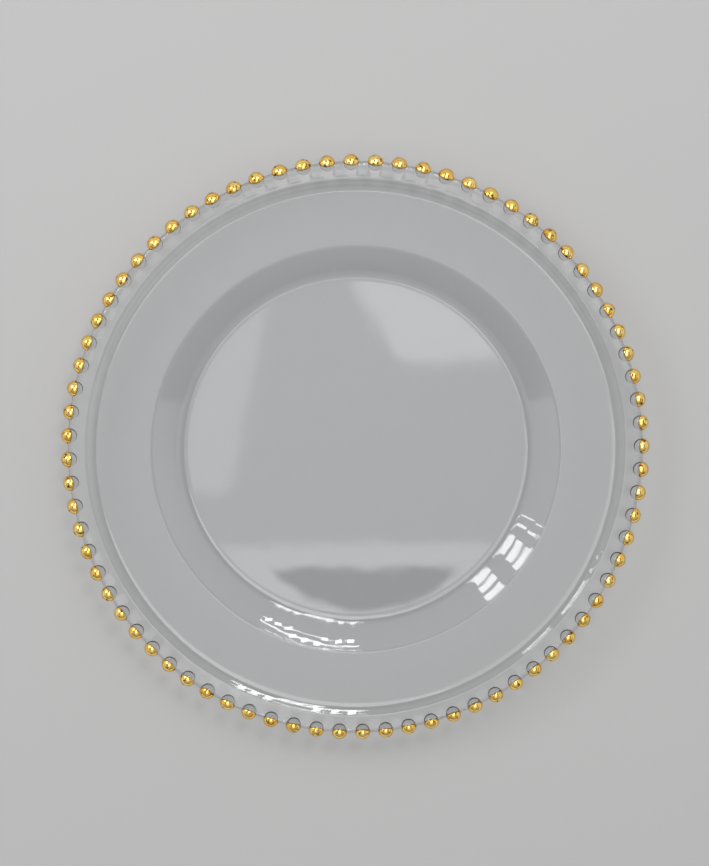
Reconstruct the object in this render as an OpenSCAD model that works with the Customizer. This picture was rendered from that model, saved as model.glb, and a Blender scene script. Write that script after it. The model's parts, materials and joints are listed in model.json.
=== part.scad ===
// Round glass charger plate with a wide flange and a ring of gilded beads fused into its rim.
// Millimetres, +Z up, origin at the middle of the face that it rests on.

/* [Plate] */
// Width over the gilded beads
overall_d = 330; // [290:1:400]
// Thickness of the glass
glass_t = 4; // [3:0.1:5]
// Width of the flat well, measured to the corner where the wall starts
well_d = 199; // [160:1:230]

/* [Wall around the well] */
// Width of the sloping wall, seen from above
wall_w = 16.2; // [12:0.2:24]
// Height that the wall climbs
wall_h = 11; // [6:0.5:18]
// Rounding of the corner between the well and the wall
well_round = 12; // [4:0.5:16]
// Rounding of the corner between the wall and the flange
flange_round = 3; // [2.6:0.1:10]

/* [Flange] */
// Height that the flange climbs on its way out
flange_h = 1.9; // [0:0.1:4]
// Width of the shallow step near the rim, seen from above
step_w = 4.4; // [4:0.2:9]
// Height that the step climbs
step_h = 2.6; // [1:0.1:3.2]
// Rounding of the cove where the flange climbs into the step
step_in_round = 14; // [6:0.5:16]
// Rounding of the corner between the step and the lip
step_out_round = 3.5; // [2.6:0.1:5]
// Width of the lip outside the step, to the edge between two beads
lip_w = 9.6; // [7:0.2:14]
// Height that the lip climbs
lip_h = 1; // [0:0.1:3]

/* [Beads] */
// Number of beads around the rim
bead_count = 76; // [40:1:90]
// Width of one bead
bead_d = 9; // [6:0.1:11]
// How far the glass edge between two beads runs past the middles of the beads
edge_past_beads = 0.7; // [0:0.1:1.5]

/* [Gilding] */
// Thickness of the gold layer
gold_t = 0.12; // [0.08:0.01:0.3]
// How far the gold reaches over each bead, from its middle towards the plate
gold_reach = 2; // [0.5:0.1:3]
// How far out from the middle of each bead the gold stops on its underside
gold_under = 1.2; // [0.8:0.1:2.4]

/* [Hidden] */
$fn = 96;

bead_r = bead_d / 2;
cap_r = bead_r + gold_t;
bead_ring_r = overall_d / 2 - cap_r;
bead_pitch_angle = 360 / bead_count;
// A tool that trims the gold is larger than the bead by this much on each side
trim_over = 1;
// The wedge that trims the gold reaches this share of the gold's own radius
wedge_share = 3;

rim_r = bead_ring_r + edge_past_beads;
step_out_r = rim_r - lip_w;
flange_out_r = step_out_r - step_w;
flange_in_r = well_d / 2 + wall_w;

// Heights of the middle of the glass, from the well out to the rim
well_z = glass_t / 2;
flange_in_z = well_z + wall_h;
flange_out_z = flange_in_z + flange_h;
step_out_z = flange_out_z + step_h;
bead_z = step_out_z + lip_h;

// Corners of the middle line of the glass, each [radius, height], and how each is rounded
corners = [
    [0, well_z],
    [well_d / 2, well_z],
    [flange_in_r, flange_in_z],
    [flange_out_r, flange_out_z],
    [step_out_r, step_out_z],
    [rim_r - glass_t / 2, bead_z]
];
corner_rounds = [0, well_round, flange_round, step_in_round, step_out_round, 0];
last_corner = len(corners) - 1;
// Flat steps in one rounded corner, and around the nose of the rim
round_steps = 6;
nose_steps = 6;

// Direction of the straight piece that leaves corner i, in degrees above level
function heading(i) =
    let (run = corners[i + 1] - corners[i])
    atan2(run[1], run[0]);

// Point at a distance from another, square to a direction and to its left
function beside(point, angle, distance) = point + distance * [-sin(angle), cos(angle)];

// Stations [point, direction] along the arc that rounds corner i
function rounded_corner(i) =
    let (
        before = heading(i - 1),
        turn = heading(i) - before,
        radius = corner_rounds[i] * sign(turn),
        back = radius * tan(turn / 2),
        start = corners[i] - back * [cos(before), sin(before)],
        centre = beside(start, before, radius)
    )
    [for (k = [0 : round_steps])
        let (angle = before + turn * k / round_steps)
        [beside(centre, angle, -radius), angle]];

stations = [
    [corners[0], 0],
    for (i = [1 : last_corner - 1]) each rounded_corner(i)
];
lip_heading = heading(last_corner - 1);

upper_face = [for (s = stations) beside(s[0], s[1], glass_t / 2)];
lower_face = [for (i = [len(stations) - 1 : -1 : 0]) beside(stations[i][0], stations[i][1], -glass_t / 2)];
nose = [for (k = [0 : nose_steps])
    beside(corners[last_corner], lip_heading - 180 * k / nose_steps, glass_t / 2)];

// Repeats a shape at the middle of every bead, with its own +X pointing outwards
module at_each_bead() {
    for (i = [0 : bead_count - 1])
        rotate([0, 0, i * bead_pitch_angle])
            translate([bead_ring_r, 0, bead_z])
                children();
}

// The thin gold layer of one bead. A wedge leaves the side towards the plate clear, so that the
// gold reaches over the top and stays off the underside, and a slot takes the edge of the plate.
module gold_layer() {
    trim_d = 2 * (cap_r + trim_over);
    over_z = sqrt(cap_r * cap_r - gold_reach * gold_reach);
    under_z = sqrt(cap_r * cap_r - gold_under * gold_under);
    difference() {
        sphere(r = cap_r);
        sphere(r = bead_r);
        rotate([90, 0, 0])
            linear_extrude(height = trim_d, center = true)
                polygon(wedge_share * [[0, 0], [-gold_reach, over_z], [-cap_r, 0], [gold_under, -under_z]]);
        translate([edge_past_beads - glass_t / 2, 0, 0])
            rotate([0, -lip_heading, 0])
                translate([-trim_d, -trim_d / 2, -glass_t / 2])
                    cube([trim_d + glass_t / 2, trim_d, glass_t]);
    }
}

// One pressed piece of clear glass: well, wall, flange, step and lip, with a seat for each bead
module plate_body() {
    color("gainsboro", 0.6) difference() {
        rotate_extrude() polygon(concat(upper_face, nose, lower_face));
        at_each_bead() sphere(r = bead_r);
    }
}

// The clear glass beads
module rim_beads() {
    color("whitesmoke", 0.8) at_each_bead() sphere(r = bead_r);
}

// The gold on the top and outside of each bead
module gold_caps() {
    color("goldenrod") at_each_bead() gold_layer();
}

plate_body();
rim_beads();
gold_caps();
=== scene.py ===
import json
import math

import bmesh
import bpy
from mathutils import Matrix, Vector, noise


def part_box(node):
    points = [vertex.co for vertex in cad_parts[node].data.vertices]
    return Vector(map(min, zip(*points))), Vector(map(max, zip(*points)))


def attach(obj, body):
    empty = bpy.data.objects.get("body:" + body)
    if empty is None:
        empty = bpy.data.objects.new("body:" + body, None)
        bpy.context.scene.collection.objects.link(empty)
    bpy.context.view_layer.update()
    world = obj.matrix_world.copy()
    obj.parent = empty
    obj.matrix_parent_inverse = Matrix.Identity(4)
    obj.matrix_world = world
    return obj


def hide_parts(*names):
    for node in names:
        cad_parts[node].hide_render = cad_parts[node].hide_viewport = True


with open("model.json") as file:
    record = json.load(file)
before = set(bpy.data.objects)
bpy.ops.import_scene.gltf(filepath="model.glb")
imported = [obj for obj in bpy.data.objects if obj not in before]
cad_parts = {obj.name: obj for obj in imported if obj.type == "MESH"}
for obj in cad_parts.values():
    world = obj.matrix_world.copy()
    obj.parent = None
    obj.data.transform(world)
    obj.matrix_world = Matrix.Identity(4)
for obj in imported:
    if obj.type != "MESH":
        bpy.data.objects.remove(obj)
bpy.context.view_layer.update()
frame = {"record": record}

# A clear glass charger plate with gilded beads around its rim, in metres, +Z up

scene = bpy.context.scene
scene.view_settings.view_transform = "Standard"

# Sizes of the glass in metres, read from the frame where it holds them
BEAD_COUNT = 76
BEAD_LOW, BEAD_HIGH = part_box("rim_beads")
BEAD_R = (BEAD_HIGH.z - BEAD_LOW.z) / 2
BEAD_Z = (BEAD_HIGH.z + BEAD_LOW.z) / 2
BEAD_RING_R = BEAD_HIGH.x - BEAD_R
GOLD_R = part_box("gold_caps")[1].x - BEAD_RING_R
GLASS_T = next(m["pos_m"][2] for m in frame["record"]["mounts"] if m["name"] == "well_face")
EDGE_PAST_BEADS = 0.0007
WELL_R = 0.0995
WALL_W, WALL_H = 0.0162, 0.011
FLANGE_H = 0.0019
STEP_W, STEP_H = 0.0044, 0.0026
LIP_W, LIP_H = 0.0096, 0.001
RIM_R = BEAD_RING_R + EDGE_PAST_BEADS
# Corners of the middle line of the glass, [radius, height, rounding]
STEP_OUT_R = RIM_R - LIP_W
CORNERS = [
    (0, GLASS_T / 2, 0),
    (WELL_R, GLASS_T / 2, 0.012),
    (WELL_R + WALL_W, GLASS_T / 2 + WALL_H, 0.003),
    (STEP_OUT_R - STEP_W, GLASS_T / 2 + WALL_H + FLANGE_H, 0.014),
    (STEP_OUT_R, BEAD_Z - LIP_H, 0.0035),
    (RIM_R - GLASS_T / 2, BEAD_Z, 0),
]
# Steps in a rounded corner and around the nose, and turned steps between two beads
ARC_STEPS = 10
NOSE_STEPS = 14
STEPS_PER_BEAD = 6
# Rings this close to each end of a straight piece keep its shading flat
GUARD = 0.0003
# Edges that turn by more than this stay sharp
SHARP_FROM = math.radians(40)


# Small helpers

def beside(point, angle, distance):
    """The point at a distance from another, square to a direction and to its left."""
    return Vector((point[0] - distance * math.sin(angle), point[1] + distance * math.cos(angle)))


def add_object(name, data):
    obj = bpy.data.objects.new(name, data)
    scene.collection.objects.link(obj)
    return obj


def mesh_from(bm, name):
    bmesh.ops.recalc_face_normals(bm, faces=bm.faces)
    mesh = bpy.data.meshes.new(name)
    bm.to_mesh(mesh)
    bm.free()
    return mesh


def bead_places():
    """The middle of each bead and how it is turned, its own +X pointing outwards."""
    for i in range(BEAD_COUNT):
        turn = Matrix.Rotation(2 * math.pi * i / BEAD_COUNT, 4, "Z")
        yield i, turn @ Matrix.Translation((BEAD_RING_R, 0, BEAD_Z))


# Glass

def stations():
    """Points and directions along the middle line of the glass, from the centre to the rim."""
    points = [Vector(c[:2]) for c in CORNERS]
    headings = [math.atan2(*reversed(b - a)) for a, b in zip(points, points[1:])]
    line = [(points[0], headings[0])]
    for i in range(1, len(points) - 1):
        before = headings[i - 1]
        turn = headings[i] - before
        radius = CORNERS[i][2] * math.copysign(1, turn)
        start = points[i] - radius * math.tan(turn / 2) * Vector((math.cos(before), math.sin(before)))
        centre = beside(start, before, radius)
        line.append((start - GUARD * Vector((math.cos(before), math.sin(before))), before))
        for k in range(ARC_STEPS + 1):
            angle = before + turn * k / ARC_STEPS
            line.append((beside(centre, angle, -radius), angle))
        after = headings[i]
        line.append((line[-1][0] + GUARD * Vector((math.cos(after), math.sin(after))), after))
    line.append((points[-1], headings[-1]))
    return line


def glass_outline():
    """Closed outline of the glass: out over its upper face, around the nose and back under it."""
    line = stations()
    nose_at, nose_heading = line[-1]
    upper = [beside(p, a, GLASS_T / 2) for p, a in line[:-1]]
    turns = [math.pi * k / NOSE_STEPS for k in range(NOSE_STEPS + 1)]
    nose = [beside(nose_at, nose_heading - turn, GLASS_T / 2) for turn in turns]
    lower = [beside(p, a, -GLASS_T / 2) for p, a in reversed(line[:-1])]
    return upper + nose + lower


def turned(outline, steps):
    """A closed solid turned from an outline whose two ends lie on the axis."""
    bm = bmesh.new()
    turns = [Matrix.Rotation(2 * math.pi * s / steps, 4, "Z") for s in range(steps)]
    rings = [[bm.verts.new(t @ Vector((p[0], 0, p[1]))) for t in turns] for p in outline[1:-1]]
    for inner, outer in zip(rings, rings[1:]):
        for s in range(steps):
            n = (s + 1) % steps
            bm.faces.new((inner[s], outer[s], outer[n], inner[n]))
    for end, ring in ((outline[0], rings[0]), (outline[-1], rings[-1])):
        tip = bm.verts.new((0, 0, end[1]))
        for s in range(steps):
            bm.faces.new((tip, ring[s], ring[(s + 1) % steps]))
    return bm


def make_glass():
    """The plate with its beads fused into the edge of the lip, as one closed glass surface."""
    bm = turned(glass_outline(), BEAD_COUNT * STEPS_PER_BEAD)
    plate = add_object("plate_glass", mesh_from(bm, "plate_glass"))
    bm = bmesh.new()
    for _, place in bead_places():
        bmesh.ops.create_icosphere(bm, subdivisions=3, radius=BEAD_R, matrix=place)
    beads = add_object("beads", mesh_from(bm, "beads"))
    join = plate.modifiers.new("join", "BOOLEAN")
    join.operation = "UNION"
    join.solver = "MANIFOLD"
    join.object = beads
    depsgraph = bpy.context.evaluated_depsgraph_get()
    fused = bpy.data.meshes.new_from_object(plate.evaluated_get(depsgraph))
    plate.modifiers.remove(join)
    plate.data = fused
    bpy.data.objects.remove(beads)
    fused.shade_smooth()
    fused.set_sharp_from_angle(angle=SHARP_FROM)
    return plate


# Gold

# How far back over the top of a bead the gold reaches, and how far out its lower edge stays underneath
GOLD_REACH = 0.002
GOLD_UNDER = 0.0012
# The gold's inner face lies this far inside the glass of the bead
GOLD_INSIDE = 0.00002
# The gold's edge follows the lip up to this share of its height, and then bends away from it
GOLD_STRAIGHT, GOLD_BEND = 0.12, 0.8
# How far the gold's edge wanders, in radians, and how fast around one bead and from bead to bead
GOLD_WANDER, WANDER_AROUND, WANDER_ALONG = 0.04, 1.7, 3.1
GOLD_RINGS = 14
GOLD_AROUND = 48


def gold_edge(around, seed):
    """Angle from straight outwards at which the gold ends, at an angle around the bead."""
    near = math.acos(EDGE_PAST_BEADS / GOLD_R)
    over = math.acos(-GOLD_REACH / GOLD_R)
    under = math.acos(GOLD_UNDER / GOLD_R)
    lift = abs(math.sin(around))
    ease = min(1, max(0, (lift - GOLD_STRAIGHT) / (1 - GOLD_STRAIGHT))) ** GOLD_BEND
    far = over if math.sin(around) > 0 else under
    at = Vector((math.cos(around) * WANDER_AROUND, math.sin(around) * WANDER_AROUND, seed * WANDER_ALONG))
    return near + (far - near) * ease + GOLD_WANDER * noise.noise(at)


def gold_shell(bm, place, seed):
    """A thin closed shell of gold over the outer part of one bead."""
    def ring(radius, share):
        row = []
        for s in range(GOLD_AROUND):
            around = 2 * math.pi * s / GOLD_AROUND
            polar = share * gold_edge(around, seed)
            side = radius * math.sin(polar)
            row.append(bm.verts.new(place @ Vector(
                (radius * math.cos(polar), side * math.cos(around), side * math.sin(around)))))
        return row

    shares = [(k + 1) / GOLD_RINGS for k in range(GOLD_RINGS)]
    outside = [ring(GOLD_R, share) for share in shares[:-1]] + [ring((GOLD_R + BEAD_R) / 2, 1.0)]
    inside = [ring(BEAD_R - GOLD_INSIDE, share) for share in shares[:-1]]
    rows = outside + inside[::-1]
    for a, b in zip(rows, rows[1:]):
        for s in range(GOLD_AROUND):
            n = (s + 1) % GOLD_AROUND
            bm.faces.new((a[s], b[s], b[n], a[n]))
    for radius, row in ((GOLD_R, rows[0]), (BEAD_R - GOLD_INSIDE, rows[-1])):
        tip = bm.verts.new(place @ Vector((radius, 0, 0)))
        for s in range(GOLD_AROUND):
            bm.faces.new((tip, row[s], row[(s + 1) % GOLD_AROUND]))


def make_gold():
    bm = bmesh.new()
    for i, place in bead_places():
        gold_shell(bm, place, i)
    gold = add_object("bead_gilding", mesh_from(bm, "bead_gilding"))
    gold.data.shade_smooth()
    return gold


# Materials

def new_material(name):
    mat = bpy.data.materials.new(name)
    mat.use_nodes = True
    nodes, links = mat.node_tree.nodes, mat.node_tree.links
    return mat, nodes, links, nodes["Principled BSDF"], nodes["Material Output"]


def wavy(nodes, links, shader, scale, detail, height):
    """Shallow waviness in the surface, from noise in the piece's own coordinates."""
    place = nodes.new("ShaderNodeTexCoord")
    wave = nodes.new("ShaderNodeTexNoise")
    wave.inputs["Scale"].default_value = scale
    wave.inputs["Detail"].default_value = detail
    bump = nodes.new("ShaderNodeBump")
    bump.inputs["Strength"].default_value = 1
    bump.inputs["Distance"].default_value = height
    links.new(place.outputs["Object"], wave.inputs["Vector"])
    links.new(wave.outputs["Fac"], bump.inputs["Height"])
    links.new(bump.outputs["Normal"], shader.inputs["Normal"])
    return place


def glass_material():
    mat, nodes, links, shader, out = new_material("clear_pressed_glass")
    shader.inputs["Base Color"].default_value = (1, 1, 1, 1)
    shader.inputs["Transmission Weight"].default_value = 1
    shader.inputs["IOR"].default_value = 1.52
    shader.inputs["Roughness"].default_value = 0
    wavy(nodes, links, shader, 22, 2, 0.00006)
    # Lamps and the floor's soft light shine straight through, so that the floor below isn't black
    path = nodes.new("ShaderNodeLightPath")
    through = nodes.new("ShaderNodeBsdfTransparent")
    through.inputs["Color"].default_value = (0.95, 0.955, 0.96, 1)
    surface = shader.outputs["BSDF"]
    for light in ("Is Shadow Ray", "Is Diffuse Ray"):
        mix = nodes.new("ShaderNodeMixShader")
        links.new(path.outputs[light], mix.inputs["Fac"])
        links.new(surface, mix.inputs[1])
        links.new(through.outputs["BSDF"], mix.inputs[2])
        surface = mix.outputs["Shader"]
    links.new(surface, out.inputs["Surface"])
    # The glass itself takes a little light
    body = nodes.new("ShaderNodeVolumeAbsorption")
    body.inputs["Color"].default_value = (0.50, 0.52, 0.53, 1)
    body.inputs["Density"].default_value = 60
    links.new(body.outputs["Volume"], out.inputs["Volume"])
    return mat


def gold_material():
    mat, nodes, links, shader, _ = new_material("bright_gold")
    shader.inputs["Metallic"].default_value = 1
    place = wavy(nodes, links, shader, 420, 3, 0.00004)
    tone = nodes.new("ShaderNodeTexNoise")
    tone.inputs["Scale"].default_value = 150
    tone.inputs["Detail"].default_value = 4
    ramp = nodes.new("ShaderNodeValToRGB")
    ramp.color_ramp.elements[0].position = 0.3
    ramp.color_ramp.elements[0].color = (0.90, 0.51, 0.09, 1)
    ramp.color_ramp.elements[1].position = 0.7
    ramp.color_ramp.elements[1].color = (1.0, 0.76, 0.27, 1)
    rough = nodes.new("ShaderNodeMapRange")
    rough.inputs["To Min"].default_value = 0.10
    rough.inputs["To Max"].default_value = 0.26
    # Small brown spots are painted reflections: they stand for the dark things that the real beads mirror
    reflection_spots = nodes.new("ShaderNodeTexNoise")
    reflection_spots.inputs["Scale"].default_value = 480
    reflection_spots.inputs["Detail"].default_value = 1
    reflection_share = nodes.new("ShaderNodeMapRange")
    reflection_share.inputs["From Min"].default_value = 0.62
    reflection_share.inputs["From Max"].default_value = 0.67
    colour = nodes.new("ShaderNodeMix")
    colour.data_type = "RGBA"
    colour.inputs["B"].default_value = (0.26, 0.11, 0.02, 1)
    links.new(place.outputs["Object"], reflection_spots.inputs["Vector"])
    links.new(reflection_spots.outputs["Fac"], reflection_share.inputs["Value"])
    links.new(reflection_share.outputs["Result"], colour.inputs["Factor"])
    links.new(ramp.outputs["Color"], colour.inputs["A"])
    links.new(place.outputs["Object"], tone.inputs["Vector"])
    links.new(tone.outputs["Fac"], ramp.inputs["Fac"])
    links.new(colour.outputs["Result"], shader.inputs["Base Color"])
    links.new(tone.outputs["Fac"], rough.inputs["Value"])
    links.new(rough.outputs["Result"], shader.inputs["Roughness"])
    return mat


def floor_material():
    mat, _, _, shader, _ = new_material("pale_floor")
    shader.inputs["Base Color"].default_value = (0.5, 0.5, 0.5, 1)
    shader.inputs["Roughness"].default_value = 0.9
    shader.inputs["Specular IOR Level"].default_value = 0.1
    return mat


# Stage, light and camera

# The floor lies a hair below the glass, so that the two faces don't lie in one plane
FLOOR_GAP = 0.0001
FLOOR_HALF_WIDTH = 6


def make_floor():
    bm = bmesh.new()
    bmesh.ops.create_grid(bm, x_segments=1, y_segments=1, size=FLOOR_HALF_WIDTH)
    floor = add_object("floor", mesh_from(bm, "floor"))
    floor.location.z = -FLOOR_GAP
    floor.data.materials.append(floor_material())


# Brightness of the studio by height: [share of the way up from straight down, share of the ceiling's]
CEILING = 3.9
BRIGHT_SIDE_SHARES = (
    (0.50, 0.24), (0.60, 0.24), (0.66, 0.11), (0.70, 0.11), (0.74, 0.25), (0.81, 0.25),
    (0.83, 0.16), (0.89, 0.16), (0.915, 0.05), (0.965, 0.05),
)
DARK_SIDE_SHARES = (
    (0.50, 0.24), (0.60, 0.24), (0.65, 0.01), (0.735, 0.01), (0.76, 0.18), (0.82, 0.18),
    (0.835, 0.01), (0.865, 0.01), (0.88, 0.20), (0.965, 0.20),
)
# The dark side starts this far towards -Y, as a share of the way out to level, and a little slanted
DARK_FROM, DARK_FADE, DARK_SLANT = -0.34, 0.02, 0.096
# The ceiling starts at this share of the way up
OVERHEAD_FROM, OVERHEAD_FADE = 0.972, 0.004
# Its brightness from one place along Y to another, both as a share of the way out to level
OVERHEAD_ALONG_Y = (-0.3, 0.1)
OVERHEAD_SHARES = ((0.0, 0.75), (0.19, 0.65), (0.29, 0.62), (0.31, 0.33), (1.0, 0.33))
# Its pale side and its shapes end along Y at a slant
CEILING_SLANT = 0.1
# A pale band and a pale fan on it: share, reach along X and Y, slant, and how soft the edges are
SHAPES = (
    (0.56, (-0.5, -0.0276), (-0.143, 0.5), -0.31, 0.006),
    (0.74, (0.030, 0.5), (-0.053, 0.5), 0.45, 0.008),
)
# The part of a round dark patch that shows on it: share, middle, radius, reach along Y and soft edge
PATCH_SHARE = 0.01
PATCH_MIDDLE = (0.022, -0.147, 0.989)
PATCH_RADIUS = 0.082
PATCH_ALONG_Y = (-0.5, -0.196)
PATCH_FADE = 0.004


def ramp_of(nodes, links, value, shares):
    ramp = nodes.new("ShaderNodeValToRGB")
    stops = ramp.color_ramp.elements
    for k, (at, level) in enumerate(shares):
        stop = stops[k] if k < 2 else stops.new(at)
        stop.position = at
        stop.color = (level, level, level, 1)
    links.new(value, ramp.inputs["Fac"])
    return ramp.outputs["Color"]


def between(nodes, links, value, low, high):
    """0 at low and 1 at high, held beyond them."""
    span = nodes.new("ShaderNodeMapRange")
    span.interpolation_type = "SMOOTHSTEP"
    span.inputs["From Min"].default_value = low
    span.inputs["From Max"].default_value = high
    links.new(value, span.inputs["Value"])
    return span.outputs["Result"]


def blend(nodes, links, share, first, second):
    mix = nodes.new("ShaderNodeMix")
    mix.data_type = "RGBA"
    links.new(share, mix.inputs["Factor"])
    links.new(first, mix.inputs["A"])
    links.new(second, mix.inputs["B"])
    return mix.outputs["Result"]


def product(nodes, links, first, second):
    times = nodes.new("ShaderNodeMath")
    times.operation = "MULTIPLY"
    links.new(first, times.inputs[0])
    links.new(second, times.inputs[1])
    return times.outputs["Value"]


def slanted(nodes, links, value, other, slant):
    """A value plus a share of another."""
    lean = nodes.new("ShaderNodeMath")
    lean.operation = "MULTIPLY_ADD"
    lean.inputs[1].default_value = slant
    links.new(other, lean.inputs[0])
    links.new(value, lean.inputs[2])
    return lean.outputs["Value"]


def inside(nodes, links, value, reach, fade):
    """1 inside a reach and 0 outside it, with soft edges."""
    low, high = reach
    return product(nodes, links, between(nodes, links, value, low - fade, low + fade),
                   between(nodes, links, value, high + fade, high - fade))


def near(nodes, links, direction, middle, radius, fade):
    """1 within a radius of a direction and 0 beyond it, with a soft edge."""
    apart = nodes.new("ShaderNodeVectorMath")
    apart.operation = "DISTANCE"
    apart.inputs[1].default_value = middle
    links.new(direction, apart.inputs[0])
    return between(nodes, links, apart.outputs["Value"], radius + fade, radius - fade)


def paint(nodes, links, shape, ceiling, share):
    grey = nodes.new("ShaderNodeRGB")
    grey.outputs[0].default_value = (share, share, share, 1)
    return blend(nodes, links, shape, ceiling, grey.outputs[0])


def make_walls(nodes, links, x, y, height):
    """The walls: pale ones, and dark cloths on the side of -Y."""
    bright_side = between(nodes, links, slanted(nodes, links, y, x, DARK_SLANT),
                          DARK_FROM - DARK_FADE, DARK_FROM + DARK_FADE)
    return blend(nodes, links, bright_side, ramp_of(nodes, links, height, DARK_SIDE_SHARES),
                 ramp_of(nodes, links, height, BRIGHT_SIDE_SHARES))


def make_ceiling(nodes, links, direction, x, y):
    """The ceiling: pale towards -Y, with a few shapes on it."""
    across = nodes.new("ShaderNodeMapRange")
    across.inputs["From Min"].default_value = OVERHEAD_ALONG_Y[0]
    across.inputs["From Max"].default_value = OVERHEAD_ALONG_Y[1]
    leaning_y = slanted(nodes, links, y, x, CEILING_SLANT)
    links.new(leaning_y, across.inputs["Value"])
    ceiling = ramp_of(nodes, links, across.outputs["Result"], OVERHEAD_SHARES)
    for share, along_x, along_y, slant, fade in SHAPES:
        leaning_x = slanted(nodes, links, x, y, slant)
        shape = product(nodes, links, inside(nodes, links, leaning_x, along_x, fade),
                        inside(nodes, links, leaning_y, along_y, fade))
        ceiling = paint(nodes, links, shape, ceiling, share)
    patch = product(nodes, links, inside(nodes, links, leaning_y, PATCH_ALONG_Y, PATCH_FADE),
                    near(nodes, links, direction, PATCH_MIDDLE, PATCH_RADIUS, PATCH_FADE))
    return paint(nodes, links, patch, ceiling, PATCH_SHARE)


def make_sky():
    """A soft studio all around the plate."""
    world = bpy.data.worlds.new("studio")
    scene.world = world
    world.use_nodes = True
    nodes, links = world.node_tree.nodes, world.node_tree.links
    place = nodes.new("ShaderNodeTexCoord")
    split = nodes.new("ShaderNodeSeparateXYZ")
    direction = place.outputs["Generated"]
    links.new(direction, split.inputs["Vector"])
    way_up = nodes.new("ShaderNodeMapRange")
    way_up.inputs["From Min"].default_value = -1
    links.new(split.outputs["Z"], way_up.inputs["Value"])
    x, y, height = split.outputs["X"], split.outputs["Y"], way_up.outputs["Result"]
    walls = make_walls(nodes, links, x, y, height)
    ceiling = make_ceiling(nodes, links, direction, x, y)
    overhead = between(nodes, links, height, OVERHEAD_FROM - OVERHEAD_FADE, OVERHEAD_FROM + OVERHEAD_FADE)
    links.new(blend(nodes, links, overhead, walls, ceiling), nodes["Background"].inputs["Color"])
    nodes["Background"].inputs["Strength"].default_value = CEILING


# Windows, two of them narrow: [degrees around, degrees wide, degrees above level of the bar across them,
# degrees of lean]
WINDOWS = (
    (132.8, 6.0, 37.4, -4), (147.2, 6.4, 36.4, -6),
    (155.2, 0.8, 36.1, -6), (158.8, 0.4, 35.9, -6),
)
# Their panes, [lowest, highest] in degrees above that bar
PANES = ((-8, -0.09), (0.09, 0.55), (0.75, 9.5), (12.5, 16.5))
# Three groups of small lamps, [degrees around, degrees above level], and how high the tall lamp above each
# of them is
LAMP_GROUPS = (
    (((50.7, 36.8), (54.2, 37.05), (58.0, 37.3)), 50),
    (((59.8, 37.85), (64.0, 38.2), (68.4, 38.5)), 64),
    (((70.8, 38.15), (75.5, 38.35), (79.9, 38.5)), 50),
)
# Thin lines of light, each [degrees tall, places along it]
LIGHT_LINES = (
    (0.09, ((48.0, 36.9), (53.8, 37.4), (59.5, 37.8), (64.0, 38.15),
            (68.4, 38.4), (73.0, 38.6), (78.0, 38.8), (82.7, 38.9))),
    (0.04, ((48.6, 36.6), (54.5, 37.1), (60.7, 37.55), (65.9, 37.9),
            (70.8, 38.15), (76.0, 38.4), (81.2, 38.5))),
    (5, ((46, 57), (84, 57))),
)
LAMP_DISTANCE = 1.5
# How brightly each kind of lamp shines; 1 looks plain white
WINDOW_RADIANCE, SMALL_LAMP_RADIANCE, TALL_LAMP_RADIANCE, LINE_RADIANCE = 7, 12, 9, 9
# Width and height of the small and tall lamps in degrees
SMALL_LAMP_SIZE, TALL_LAMP_SIZE = (1.8, 0.2), (1.3, 12)


def panel(name, azimuth, elevation, size, radiance, lean=0):
    """An evenly shining panel that faces the plate from the dome of lamps. Angles are in degrees."""
    data = bpy.data.lights.new(name, "AREA")
    data.shape = "RECTANGLE"
    data.size, data.size_y = [LAMP_DISTANCE * math.radians(angle) for angle in size]
    data.energy = radiance * math.pi * data.size * data.size_y
    lamp = add_object(name, data)
    a, e = math.radians(azimuth), math.radians(elevation)
    outwards = Vector((math.cos(e) * math.cos(a), math.cos(e) * math.sin(a), math.sin(e)))
    lamp.location = LAMP_DISTANCE * outwards
    lamp.rotation_euler = (-outwards).to_track_quat("-Z", "Y").to_euler()
    lamp.rotation_euler.rotate_axis("Z", math.radians(lean))


def strip(name, start, end, tall, radiance):
    """A long panel between two places, each in degrees around and degrees above level."""
    azimuth, elevation = [(a + b) / 2 for a, b in zip(start, end)]
    along = (end[0] - start[0]) * math.cos(math.radians(elevation))
    up = end[1] - start[1]
    lean = math.degrees(math.atan2(up, along))
    panel(name, azimuth, elevation, (math.hypot(along, up), tall), radiance, lean)


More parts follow.
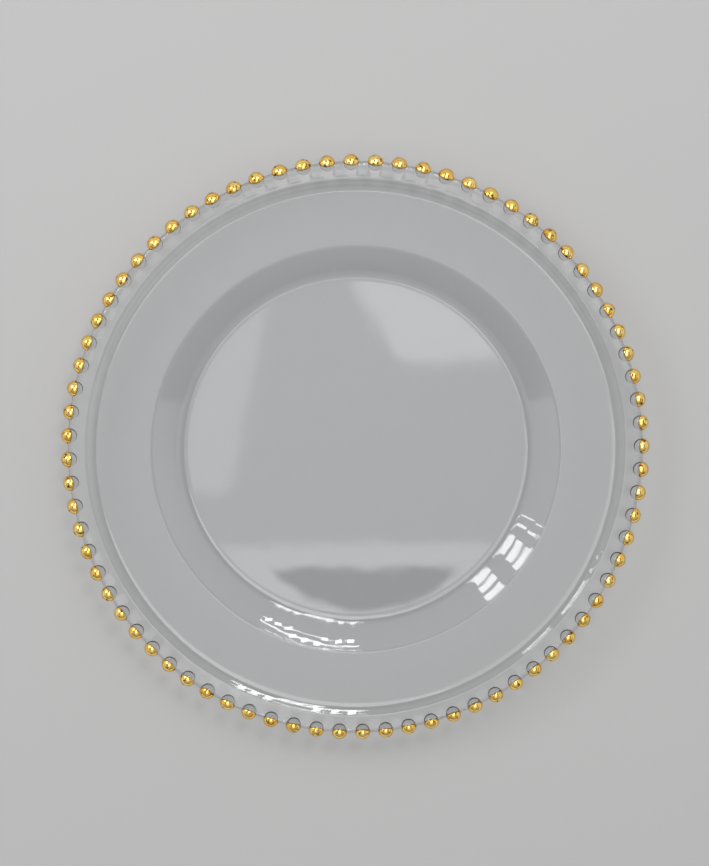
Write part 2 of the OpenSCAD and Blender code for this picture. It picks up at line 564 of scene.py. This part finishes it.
def make_light():
    make_sky()
    for azimuth, wide, bar, lean in WINDOWS:
        for low, high in PANES:
            panel("window", azimuth, bar + (low + high) / 2, (wide, high - low), WINDOW_RADIANCE, lean)
    for lamps, tall_elevation in LAMP_GROUPS:
        for azimuth, elevation in lamps:
            panel("small_lamp", azimuth, elevation, SMALL_LAMP_SIZE, SMALL_LAMP_RADIANCE)
            panel("tall_lamp", azimuth, tall_elevation, TALL_LAMP_SIZE, TALL_LAMP_RADIANCE)
    for tall, places in LIGHT_LINES:
        for start, end in zip(places, places[1:]):
            strip("light_line", start, end, tall, LINE_RADIANCE)


# The photograph's view: pixels across and down, and pixels for a metre in the plane of the beads
IMAGE_W, IMAGE_H = 709, 866
PIXELS_PER_METRE = 1784
# How the camera stands over the plate: how far, how far from straight above, on which side, and how turned
CAMERA_DISTANCE = 0.804
CAMERA_TILT = math.radians(6.14)
CAMERA_AZIMUTH = math.radians(100.8)
CAMERA_ROLL = math.radians(-5.89)
# Where the middle of the ring of beads lies in the picture
PLATE_AT_PIXEL = (357.0, 452.6)
SENSOR_W = 36


def make_camera():
    out = Vector((math.sin(CAMERA_TILT) * math.cos(CAMERA_AZIMUTH),
                  math.sin(CAMERA_TILT) * math.sin(CAMERA_AZIMUTH), math.cos(CAMERA_TILT)))
    up = Matrix.Rotation(CAMERA_ROLL, 3, "Z") @ Vector((0, 1, 0))
    right = up.cross(out).normalized()
    up = out.cross(right)
    across = (PLATE_AT_PIXEL[0] - IMAGE_W / 2) / PIXELS_PER_METRE
    down = (PLATE_AT_PIXEL[1] - IMAGE_H / 2) / PIXELS_PER_METRE
    place = Vector((0, 0, BEAD_Z)) + out * CAMERA_DISTANCE - right * across + up * down
    data = bpy.data.cameras.new("camera")
    data.sensor_fit = "HORIZONTAL"
    data.sensor_width = SENSOR_W
    data.lens = PIXELS_PER_METRE * CAMERA_DISTANCE / IMAGE_W * SENSOR_W
    camera = bpy.data.objects.new("camera", data)
    scene.collection.objects.link(camera)
    camera.matrix_world = Matrix((
        (right.x, up.x, out.x, place.x),
        (right.y, up.y, out.y, place.y),
        (right.z, up.z, out.z, place.z),
        (0, 0, 0, 1),
    ))
    scene.camera = camera


make_camera()
make_light()
make_floor()

glass = make_glass()
glass.data.materials.clear()
glass.data.materials.append(glass_material())
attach(glass, "root")
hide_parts("plate_body", "rim_beads")

gold = make_gold()
gold.data.materials.append(gold_material())
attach(gold, "root")
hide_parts("gold_caps")
